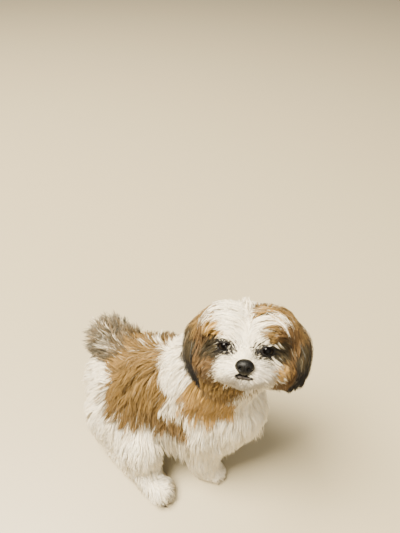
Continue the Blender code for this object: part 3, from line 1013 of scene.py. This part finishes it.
class SHIHTZU_OT_nose(bpy.types.Operator):
    """Shapes the nose leather with its nostrils and the groove between them"""

    bl_idname = "shih_tzu.nose"
    bl_label = "Nose"

    def execute(self, context):
        select_none()
        bpy.ops.mesh.primitive_uv_sphere_add(
            segments=72, ring_count=48, radius=1, rotation=(math.pi / 2, 0, 0)
        )
        piece = bpy.context.object
        piece.name = "nose_pad"
        bpy.ops.object.transform_apply(location=True, rotation=True, scale=True)
        x, y, z = points_of(piece.data).T
        wide, painted_root_shade, high = NOSE_HALF
        # A heart-like pad: broad and flat on top, narrowing to the lip
        wide = wide * (1 - 0.22 * ramp(0.1, -1.0, z))
        places = np.stack([x * wide, y * painted_root_shade - 0.8 * ramp(-0.4, 0.9, z), z * high - 0.7], 1)
        side = np.abs(x)
        # Nostrils: a round hole that opens into a slit to the side, with a wing round it
        hole = hump(side, 0.40, 0.15) * hump(z, -0.12, 0.20)
        slit = hump(z + 0.30, 0.25 * (side - 0.5), 0.07) * ramp(0.42, 0.55, side) * ramp(0.95, 0.8, side)
        wing = hump(side, 0.66, 0.14) * hump(z, -0.02, 0.30)
        groove = hump(x, 0, 0.05) * ramp(0.35, -0.1, z)
        places[:, 1] += ramp(0.1, -0.5, y) * (4.2 * hole + 2.2 * slit - 0.7 * wing + 0.9 * groove)
        turn = np.array(Matrix.Rotation(NOSE_TIP, 3, "X"))
        move_points(piece.data, from_head(places @ turn.T + nose_middle()))
        piece.data.materials.append(nose_material())
        piece.data.shade_smooth()
        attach(piece, BODY)
        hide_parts("nose")
        return {"FINISHED"}


# Claws, in metres: how far apart, how long, how thick, how high, how far back from the toes' front end,
# how far each outer one is set back from its neighbour, how much it fans out, and how far its tip bends down
PAWS = ("foreleg_left", "foreleg_right", "hindleg_left", "hindleg_right")
CLAWS_PER_PAW = 4
CLAW_SPACING = 0.0085
CLAW_LENGTH = 0.0095
CLAW_ROOT, CLAW_TIP = 0.0018, 0.0004
CLAW_HEIGHT = 0.0048
CLAW_INSET = 0.0085
CLAW_ARC = 0.0022
CLAW_FAN = 22
CLAW_BEND = 0.0028


class SHIHTZU_OT_claws(bpy.types.Operator):
    """Sets four curved claws at the front of each paw"""

    bl_idname = "shih_tzu.claws"
    bl_label = "Claws"

    def execute(self, context):
        made = []
        for paw in PAWS:
            middle, front = toe_place(paw)
            for k in range(CLAWS_PER_PAW):
                place = k - (CLAWS_PER_PAW - 1) / 2
                off = place * CLAW_SPACING
                select_none()
                bpy.ops.mesh.primitive_cone_add(
                    vertices=10, radius1=CLAW_ROOT, radius2=CLAW_TIP, depth=CLAW_LENGTH
                )
                claw = bpy.context.object
                bend_claw(claw.data)
                spot = (middle + off, front + CLAW_INSET + abs(place) * CLAW_ARC, CLAW_HEIGHT)
                claw.data.transform(Matrix.Translation(spot) @ Matrix.Rotation(-off * CLAW_FAN, 4, "Z"))
                made.append(claw)
        select_none()
        for claw in made:
            claw.select_set(True)
        bpy.context.view_layer.objects.active = made[0]
        bpy.ops.object.join()
        piece = bpy.context.object
        piece.name = "claws"
        piece.data.materials.append(claw_material())
        piece.data.shade_smooth()
        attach(piece, BODY)
        return {"FINISHED"}


def toe_place(paw):
    """Where the toes of a paw end: the middle and the front of its solid's lowest part."""
    points = points_of(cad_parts[paw].data)
    sole = points[points[:, 2] < 0.03]
    front = sole[:, 1].min()
    toes = sole[sole[:, 1] < front + 0.025]
    return (toes[:, 0].min() + toes[:, 0].max()) / 2, front


def bend_claw(mesh):
    """Turns a cone to point forwards and bends its tip down."""
    mesh.transform(Matrix.Rotation(math.pi / 2, 4, "X"))
    points = points_of(mesh)
    forward = (points[:, 1].max() - points[:, 1]) / np.ptp(points[:, 1])
    points[:, 2] -= CLAW_BEND * forward**2
    move_points(mesh, points)


# Coat

@dataclass
class Growth:
    """How one piece of the coat grows. Lengths are in mm."""

    name: str
    nodes: tuple
    locks: int
    rings: int
    width: float
    # How far tips are drawn to their clump's leader, and how wide they wave
    clump: float
    wave: float = 0.0
    # Which of the nodes' skin it grows from
    where: object = None
    # How much it hangs, how far beyond the outline its free locks may fly, and how far it lies over the skin
    sag: float = 0.1
    fly: float = 1.5
    loft: float = 1.8
    # How much headings scatter, the share of free locks, and lengths against the strokes'
    spread: float = 1.0
    free: float = 0.25
    stretch: float = 1.0
    # Whose strokes and patches it takes, where they aren't its first node's
    part: str = ""

    def __post_init__(self):
        self.part = self.part or part_of(self.nodes[0])


# Where the face's short hair grows and where the crown's tuft does, on the head in mm
SHORT_HAIR_MIDDLE, SHORT_HAIR_REACH = (0, -60, -2), 38
TUFT_MIDDLE, TUFT_REACH = (-3, -12, 56), 11
# Where the trunk's chest ends and its rump begins, in metres
CHEST_END, RUMP_START = -0.058, 0.045


def on_face(points):
    """True where the short hair of the muzzle, brows and eyes grows."""
    places = to_head(points)
    return (np.linalg.norm(places - SHORT_HAIR_MIDDLE, axis=1) < SHORT_HAIR_REACH) & (places[:, 1] < -36)


def on_parting(points):
    """True at the middle of the crown, where a tuft stands up."""
    return np.linalg.norm(to_head(points) - TUFT_MIDDLE, axis=1) < TUFT_REACH


def on_chest(points):
    return points[:, 1] < CHEST_END


def on_rump(points):
    return points[:, 1] > RUMP_START


def on_underside(points):
    """True where the trunk turns under, so that its longest hair hangs free."""
    facing = outline().at(points)[1][:, 2]
    low = (points[:, 2] < 0.165) & (points[:, 2] > 0.05) & (points[:, 1] < 0.035)
    return low & (facing < 0.1) & (facing > -0.85)


GROWTHS = (
    Growth("coat_face", ("head",), 17000, 2, 0.56, 0.25, where=on_face, sag=0.0, loft=0.9, fly=2.5),
    Growth("coat_head", ("head",), 10500, 3, 0.78, 0.40, 1.2, where=lambda p: ~on_face(p), sag=0.06,
           fly=4.0, free=0.3),
    Growth("coat_tuft", ("head",), 220, 3, 0.7, 0.6, 1.5, where=on_parting, sag=0.0, fly=26.0, free=1.0,
           part="tuft"),
    Growth("coat_ears", ("ear_left", "ear_right"), 8000, 3, 0.78, 0.45, 2.2, fly=6.0, free=0.5, spread=1.5),
    Growth("coat_neck", ("neck",), 9000, 3, 0.9, 0.45, 1.8, fly=4.0, free=0.35, spread=1.2),
    Growth("coat_chest", ("trunk",), 9000, 3, 0.9, 0.45, 1.8, where=on_chest, fly=4.0, free=0.35, spread=1.2),
    Growth("coat_flanks", ("trunk",), 11000, 3, 0.9, 0.45, 1.8, where=lambda p: ~on_chest(p) & ~on_rump(p),
           fly=4.0, free=0.35, spread=1.2),
    Growth("coat_rump", ("trunk",), 10000, 3, 0.9, 0.45, 1.8, where=on_rump, fly=5.0, free=0.4, spread=1.2),
    Growth("coat_fringe", ("trunk",), 2400, 3, 0.85, 0.5, 2.0, where=on_underside, sag=1.3, fly=60.0,
           free=1.0, stretch=1.4, spread=1.5),
    Growth("coat_hindlegs", ("hindleg_left", "hindleg_right"), 11000, 3, 0.82, 0.45, 1.2, fly=4.0, free=0.4,
           spread=1.2),
    Growth("coat_forelegs", ("foreleg_left", "foreleg_right"), 10500, 2, 0.8, 0.4, 0.8, fly=3.0, free=0.3,
           spread=1.2),
    Growth("coat_tail", ("tail",), 3400, 4, 0.75, 0.5, 3.0, sag=0.05, fly=22.0, spread=1.8, free=0.8),
)


class Skin:
    """The skin's mesh as arrays, for locks to grow from."""

    def __init__(self, mesh):
        self.points = points_of(mesh)
        self.normals = normals_of(mesh)
        self.triangles = triangles_of(mesh)
        self.corners = triangles_of(mesh, "loops")
        self.faces = read(mesh.loop_triangles, "polygon_index")
        a, b, c = (self.points[self.triangles[:, i]] for i in range(3))
        self.areas = np.linalg.norm(np.cross(b - a, c - a), axis=1) / 2
        self.middles = (a + b + c) / 3
        self.owners = nearest_nodes(self.middles)


# Bare skin: out to which share of the eye's opening, in which ellipsoid round the nose's middle, and how
# far to each side of the groove under it, in mm
BARE_LID = 1.14
BARE_NOSE = (11.6, 9.6, 8.6)
BARE_GROOVE = 2.4


def bare(points):
    """True where no hair grows: inside and on the rims of the eyes, on the nose leather and on the lips."""
    places = to_head(points)
    none = np.zeros(len(points), bool)
    for side, _ in SIDES:
        _, _, ahead, opening = eye_place(places, side)
        none |= (opening < BARE_LID) & (ahead > LIDS_BACK)
    none |= np.linalg.norm((places - nose_middle()) / BARE_NOSE, axis=1) < 1.0
    none |= mouth_place(places)[1] < 1.0
    x, y, z = places.T
    none |= (np.abs(x - GROOVE_MIDDLE) < BARE_GROOVE) & (z < -7) & (z > -14) & (y < MUZZLE_FRONT)
    return none


def places_on_map(piece, faces_used):
    """Unwraps the used faces alone to fill a map, and returns every corner's place on it."""
    only(piece)
    mesh = piece.data
    layer = mesh.uv_layers.new(name="places")
    mesh.uv_layers.active = layer
    select_faces(mesh, faces_used)
    bpy.ops.object.mode_set(mode="EDIT")
    bpy.ops.mesh.select_mode(type="FACE")
    bpy.ops.uv.smart_project(angle_limit=UNWRAP_ANGLE, island_margin=0.002)
    bpy.ops.object.mode_set(mode="OBJECT")
    layer = mesh.uv_layers["places"]
    spots = read(layer.uv, "vector", 2, np.float32)
    mesh.uv_layers.remove(layer)
    return spots


def clumps_of(roots, per_clump, rng):
    """Each lock's clump, named by the lock that leads it: the nearest of a seeded choice of roots."""
    leaders = rng.choice(len(roots), max(2, len(roots) // per_clump), replace=False)
    tree = KDTree(len(leaders))
    for leader in leaders.tolist():
        tree.insert(roots[leader], leader)
    tree.balance()
    return np.array([tree.find(root)[1] for root in roots.tolist()])


# Locks in a small clump and in a large one
CLUMP_SIZES = (7, 60)
TRACE_STEPS = 9
FLOOR_CLEARANCE = 0.0009
ROOT_SINK = 0.0007
DOWN = np.array((0.0, 0.0, -1.0))
# How far a lock's heading strays by itself, with its small clump and with its large one
STRAYS = (0.06, 0.10, 0.09)
# Where a lock heads out more steeply than this as it meets the coat's outline, it ends there
STEEP = 0.62


def trace(growth, roots, normals, part, clumps, body, rng):
    """Follows each lock from its root along the combing, under the coat's outline and over the skin."""
    count = len(roots)
    _, sizes = combed(roots, part)
    length, lift = sizes[:, :1] * growth.stretch, sizes[:, 1:]
    length = length * rng.uniform(0.7, 1.1, (count, 1)) * rng.uniform(0.85, 1.1, (count, 1))[clumps[0]]
    stray = np.zeros((count, 3))
    for amount, leaders in zip(STRAYS, (np.arange(count), *clumps)):
        stray += (rng.normal(size=(count, 3)) * amount)[leaders]
    stray *= growth.spread
    field = outline()
    depth_here = np.maximum(-field.at(roots)[0], 0.001)
    # How far under the outline each lock must stay, or beyond it may go
    ceiling = depth_here * 0.4 * rng.uniform(0, 1, (count, 1)) ** 1.8 - 0.0006
    flight = growth.fly * MM * rng.uniform(0, 1, (count, 1)) ** 2
    ceiling -= flight * (rng.uniform(0, 1, (count, 1)) < growth.free)
    loft = growth.loft * MM * rng.uniform(0.5, 1.5, (count, 1))
    step = length / TRACE_STEPS
    at = roots - normals * ROOT_SINK
    path = [at]
    heading = normals
    stop = np.full(count, float(TRACE_STEPS))
    for k in range(TRACE_STEPS):
        way, _ = combed(at, part)
        above, off = body.at(at)
        way = way - off * np.minimum(dot(way, off), 0)
        way = unit(unit(way) + stray)
        share = k / TRACE_STEPS
        stand = lift * (1 - share) ** 1.5 * 1.6
        wanted = unit(way + normals * stand + DOWN * growth.sag * share)
        heading = unit(heading * 0.35 + wanted * 0.65) if k else unit(normals * lift * 1.5 + wanted)
        at = at + heading * step
        distance, out = field.at(at)
        over = np.maximum(distance + ceiling, 0)
        leaving = dot(heading, out)[:, 0]
        blocked = (over[:, 0] > 0) & (leaving > STEEP) & (k > 2)
        stop = np.where(blocked & (stop == TRACE_STEPS), k + 1.0, stop)
        at = at - out * over
        heading = unit(heading - out * np.maximum(dot(heading, out), 0) * (over > 0) * 0.8)
        above, off = body.at(at)
        at = at + off * np.maximum(loft * (0.3 + share) - above, 0)
        low = at[:, 2] < FLOOR_CLEARANCE
        stop = np.where(low & (stop == TRACE_STEPS), k + 1.0, stop)
        at[:, 2] = np.maximum(at[:, 2], FLOOR_CLEARANCE)
        path.append(at)
    return np.stack(path, 1), np.maximum(stop, 3.0)


def bundled(path, clumps, growth, rng):
    """Draws each lock towards the leaders of its small and large clump, most at the tip, and waves it."""
    share = np.linspace(0, 1, path.shape[1])[None, :, None]
    for clump, pull in zip(clumps, (growth.clump, growth.clump * 0.7)):
        near = pull * share**1.3
        path = path * (1 - near) + path[clump] * near
    _, out = outline().at(path.reshape(-1, 3))
    sideways = unit(np.cross(np.gradient(path, axis=1), out.reshape(path.shape)))
    phase = rng.uniform(0, 2 * math.pi, (len(path), 1, 1))[clumps[1]]
    phase = phase + rng.normal(0, 0.5, (len(path), 1, 1))
    return path + sideways * growth.wave * MM * share * np.sin(5.0 * share + phase)


def resampled(path, stop, rings):
    """Each path up to its stop, at the given number of even places."""
    spots = np.linspace(0, 1, rings + 1)[None, :] * stop[:, None]
    low = np.minimum(spots.astype(int), path.shape[1] - 2)
    part = (spots - low)[..., None]
    rows = np.arange(len(path))[:, None]
    return path[rows, low] * (1 - part) + path[rows, low + 1] * part


# Size of a lock's own patch on the map of the skin
PATCH_SIZE = 0.003


def lock_mesh(name, path, out, width, colours, spots, rng):
    """Three-sided tapered locks along paths: each has rings of three corners and one tip."""
    count, stations, _ = path.shape
    rings = stations - 1
    along = unit(np.gradient(path, axis=1))
    across = unit(np.cross(along, out))
    over = unit(np.cross(across, along))
    share = np.arange(rings) / rings
    taper = (0.62 + 1.5 * share) * (1 - share) ** 0.62
    half = (width[:, None] * taper)[..., None] / 2
    ring_points = path[:, :rings]
    a = ring_points + across[:, :rings] * half
    b = ring_points + over[:, :rings] * half * 0.8
    c = ring_points - across[:, :rings] * half
    tube = np.stack([a, b, c], 2).reshape(count, rings * 3, 3)
    points = np.concatenate([tube, path[:, -1:]], 1)
    points[..., 2] = np.maximum(points[..., 2], FLOOR_CLEARANCE / 2)
    per_lock = rings * 3 + 1

    faces = [(0, 1, 2)]
    for k in range(rings - 1):
        for i, j in ((0, 1), (1, 2), (2, 0)):
            low_i, low_j = 3 * k + i, 3 * k + j
            faces.append((low_i, low_i + 3, low_j + 3))
            faces.append((low_i, low_j + 3, low_j))
    last = 3 * (rings - 1)
    for i, j in ((0, 1), (1, 2), (2, 0)):
        faces.append((last + i, per_lock - 1, last + j))
    faces = np.array(faces)
    corners = (faces[None] + (np.arange(count) * per_lock)[:, None, None]).reshape(-1)

    mesh = bpy.data.meshes.new(name)
    mesh.vertices.add(count * per_lock)
    mesh.vertices.foreach_set("co", points.astype(np.float32).ravel())
    mesh.loops.add(len(corners))
    mesh.loops.foreach_set("vertex_index", corners.astype(np.int32))
    mesh.polygons.add(len(corners) // 3)
    mesh.polygons.foreach_set("loop_start", np.arange(0, len(corners), 3, dtype=np.int32))
    mesh.update(calc_edges=True)

    crosswise = np.append(np.tile((0.0, 0.5, 1.0), rings), 0.5)
    lengthwise = np.append(np.repeat(share, 3), 1.0)
    patch = np.stack([crosswise - 0.5, lengthwise - 0.5], 1) * PATCH_SIZE
    on_skin = np.clip(spots[:, None] + patch, 0, 1).reshape(-1, 2)
    own = rng.uniform(0, 50, (count, 1, 2))
    streaks = (np.stack([crosswise * 1.6, lengthwise * 0.7], 1) + own).reshape(-1, 2)
    for layer_name, values in (("OFBake", on_skin), ("strand", streaks)):
        layer = mesh.uv_layers.new(name=layer_name, do_init=False)
        layer.uv.foreach_set("vector", values[corners].astype(np.float32).ravel())
    tones = np.concatenate([np.repeat(colours[:, :rings], 3, axis=1), colours[:, -1:]], 1)
    paint(mesh, "hair_colour", tones.reshape(-1, 3))
    mesh.shade_smooth()
    return mesh, points.reshape(-1, 3)


SOFTNESS = 0.6


def soften(mesh, points):
    """Turns the locks' shading normals part of the way to the coat's surface, as light through hair does."""
    _, out = outline().at(points)
    shaped = normals_of(mesh)
    mesh.normals_split_custom_set_from_vertices(unit(shaped * (1 - SOFTNESS) + out * SOFTNESS).tolist())


# Shares of the tail's locks in each shade
TAIL_SHADES = {"olive": 0.36, "gold": 0.20, "black": 0.20, "white": 0.05, "brown": 0.19}


def lock_colours(path, part, clumps, rng):
    """Each lock's colour at its stations: the marking where it shows, its own tint, and painted shade that
    darkens it towards the root.
    """
    coat = settings()[1]
    count, stations, _ = path.shape
    dither = rng.uniform(-0.4, 0.4, count) + rng.uniform(-0.6, 0.6, count)[clumps[0]]
    base = marking(path[:, stations // 2], part, dither)
    colours = np.repeat(base[:, None], stations, 1)
    if part == "ear":
        flat = path.reshape(-1, 3)
        colours = marking(flat, part, np.repeat(dither, stations)).reshape(count, stations, 3)
    if part == "tail":
        shades = np.array([getattr(coat, shade) for shade in TAIL_SHADES])
        pick = rng.choice(len(shades), count, p=tuple(TAIL_SHADES.values()))
        pick = np.where(rng.random(count) < 0.7, pick[clumps[0]], pick)
        white = (base.sum(1) > 0.8 * sum(coat.white))[:, None]
        tail = np.where(white, base, shades[pick] * 0.6 + base * 0.4)
        bleached = 0.18 * np.linspace(0, 1, stations)[None, :, None] ** 1.5
        colours = tail[:, None] * (1 - bleached) + np.array(coat.white) * 0.55 * bleached
    white = np.array(coat.white)
    shaded = 1 - np.clip(colours.mean((1, 2)) / white.mean(), 0, 1)[:, None, None]
    own = rng.normal(0, 0.7, (count, 1, 1)) + rng.normal(0, 0.7, (count, 1, 1))[clumps[0]]
    tint = np.exp(own * (0.07 + 0.25 * shaded))
    pale = (rng.random((count, 1, 1)) > 0.96) * shaded * 0.14
    colours = colours * (1 - pale) + white * pale
    warm = np.array((1.03, 1.0, 0.94)) ** rng.normal(0, 1, (count, 1, 1))
    # Painted shade between the locks: darkest at the root, fading out towards the tip
    painted_root_shade = (0.66 + 0.34 * np.linspace(0, 1, stations) ** 0.7)[None, :, None]
    return np.clip(colours * tint * warm * painted_root_shade, 0.004, 0.93)


class SHIHTZU_OT_coat(bpy.types.Operator):
    """Grows the coat from the skin, one piece for each part of the body"""

    bl_idname = "shih_tzu.coat"
    bl_label = "Coat"

    def execute(self, context):
        coat = settings()[1]
        material = hair_material()
        body = bpy.data.objects["skin"]
        skin = Skin(body.data)
        field = NearAndFar(body.data)
        for number, growth in enumerate(GROWTHS):
            rng = np.random.default_rng((coat.seed, number))
            mine = np.isin(skin.owners, [FLESH.index(node) for node in growth.nodes])
            if growth.where:
                mine &= growth.where(skin.middles)
            used = np.zeros(len(body.data.polygons), bool)
            used[skin.faces[mine]] = True
            spots = places_on_map(body, used)
            mine &= ~bare(skin.middles)
            weights = skin.areas * mine
            count = int(growth.locks * coat.share)
            chosen = rng.choice(len(weights), count, p=weights / weights.sum())
            first, second = rng.random((2, count))
            first = np.sqrt(first)
            parts = np.stack([1 - first, first * (1 - second), first * second], 1)[..., None]
            roots = (skin.points[skin.triangles[chosen]] * parts).sum(1)
            normals = unit((skin.normals[skin.triangles[chosen]] * parts).sum(1))
            map_spots = (spots[skin.corners[chosen]] * parts).sum(1)
            part = growth.part
            clumps = [clumps_of(roots, size, rng) for size in CLUMP_SIZES]
            path, stop = trace(growth, roots, normals, part, clumps, field, rng)
            path = bundled(resampled(path, stop, growth.rings), clumps, growth, rng)
            _, out = outline().at(path.reshape(-1, 3))
            out = out.reshape(path.shape)
            width = growth.width * MM * rng.uniform(0.6, 1.3, count)
            colours = lock_colours(path, part, clumps, rng)
            mesh, points = lock_mesh(growth.name, path, out, width, colours, map_spots, rng)
            soften(mesh, points)
            piece = fresh_object(growth.name, mesh, material)
            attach(piece, BODY)
        return {"FINISHED"}


# Stage

CAMERA_PLACE = (-0.308, -0.185, 0.733)
CAMERA_PITCH = math.radians(42.0)
CAMERA_HEADING = math.radians(65.0)
CAMERA_ROLL = math.radians(1.4)
FOCAL_PIXELS = 405.0
LONG_SIDE_PIXELS = 533.0
SENSOR = 36.0
LIGHT_COLOUR = (1.0, 0.93, 0.76)
SKY_COLOUR = (1.0, 0.95, 0.84)
FLOOR_SIZE = 14
# Just under the dog, so that its flats and the floor don't share a plane
FLOOR_LEVEL = -0.0002
LIGHT_AIM = (0, 0, 0.15)
# Name, place, size and share of the key light's power
LIGHTS = (("key", (-1.1, 1.45, 4.3), 2.3, 1.0), ("fill", (-1.3, -1.3, 1.2), 1.8, 0.02))


class SHIHTZU_OT_camera(bpy.types.Operator):
    """Sets the camera at the viewing angle, looking down on the dog from its right"""

    bl_idname = "shih_tzu.camera"
    bl_label = "Camera"

    def execute(self, context):
        turn = Matrix.Rotation(-CAMERA_HEADING, 3, "Z") @ Matrix.Rotation(math.pi / 2 - CAMERA_PITCH, 3, "X")
        turn = turn @ Matrix.Rotation(CAMERA_ROLL, 3, "Z")
        bpy.ops.object.camera_add(location=CAMERA_PLACE, rotation=turn.to_euler())
        camera = bpy.context.object
        camera.data.sensor_width = SENSOR
        camera.data.lens = FOCAL_PIXELS * SENSOR / LONG_SIDE_PIXELS
        camera.data.clip_start = 0.01
        context.scene.camera = camera
        return {"FINISHED"}


class SHIHTZU_OT_stage(bpy.types.Operator):
    """Lays a plain pale floor and hangs large soft lights"""

    bl_idname = "shih_tzu.stage"
    bl_label = "Stage"

    def execute(self, context):
        stage = settings()[2]
        select_none()
        bpy.ops.mesh.primitive_plane_add(size=FLOOR_SIZE, location=(0, 0, FLOOR_LEVEL))
        floor = bpy.context.object
        floor.name = "floor"
        # Floor tile, pressed and matt: a broad soft reflection and no pattern
        material, _, shader = new_material("matt_floor_tile")
        shader.inputs["Base Color"].default_value = (*stage.floor_colour, 1)
        shader.inputs["Roughness"].default_value = 0.45
        floor.data.materials.append(material)
        aim = Vector(LIGHT_AIM)
        for name, place, size, share in LIGHTS:
            turn = (aim - Vector(place)).to_track_quat("-Z", "Y").to_euler()
            bpy.ops.object.light_add(type="AREA", location=place, rotation=turn)
            light = bpy.context.object
            light.name = name
            light.data.size = size
            light.data.energy = stage.key_power * share
            light.data.color = LIGHT_COLOUR
        world = bpy.data.worlds.new("even_sky")
        world.use_nodes = True
        sky = world.node_tree.nodes["Background"]
        sky.inputs["Color"].default_value = (*SKY_COLOUR, 1)
        sky.inputs["Strength"].default_value = stage.sky
        context.scene.world = world
        return {"FINISHED"}


class SHIHTZU_PT_panel(bpy.types.Panel):
    """The dog's pieces in the order in which they are made"""

    bl_idname = "SHIHTZU_PT_panel"
    bl_label = "Shih Tzu"
    bl_space_type = "VIEW_3D"
    bl_region_type = "UI"
    bl_category = "Shih Tzu"

    def draw(self, context):
        for operator in OPERATORS:
            self.layout.operator(operator.bl_idname)
        for group in settings():
            box = self.layout.box()
            box.label(text=group.bl_rna.description)
            for name in group.bl_rna.properties.keys():
                if name not in ("rna_type", "name"):
                    box.prop(group, name)


OPERATORS = (
    SHIHTZU_OT_camera,
    SHIHTZU_OT_stage,
    SHIHTZU_OT_skin,
    SHIHTZU_OT_eyes,
    SHIHTZU_OT_nose,
    SHIHTZU_OT_claws,
    SHIHTZU_OT_coat,
)
GROUPS = (SkinSettings, CoatSettings, StageSettings)


def register():
    for group in (*GROUPS, *OPERATORS, SHIHTZU_PT_panel):
        bpy.utils.register_class(group)
    bpy.types.Scene.shih_tzu_skin = PointerProperty(type=SkinSettings)
    bpy.types.Scene.shih_tzu_coat = PointerProperty(type=CoatSettings)
    bpy.types.Scene.shih_tzu_stage = PointerProperty(type=StageSettings)


def unregister():
    del bpy.types.Scene.shih_tzu_skin
    del bpy.types.Scene.shih_tzu_coat
    del bpy.types.Scene.shih_tzu_stage
    for group in reversed((*GROUPS, *OPERATORS, SHIHTZU_PT_panel)):
        bpy.utils.unregister_class(group)


def main():
    register()
    bpy.ops.shih_tzu.camera()
    bpy.ops.shih_tzu.stage()
    bpy.ops.shih_tzu.skin()
    bpy.ops.shih_tzu.eyes()
    bpy.ops.shih_tzu.nose()
    bpy.ops.shih_tzu.claws()
    bpy.ops.shih_tzu.coat()


if __name__ == "__main__":
    main()
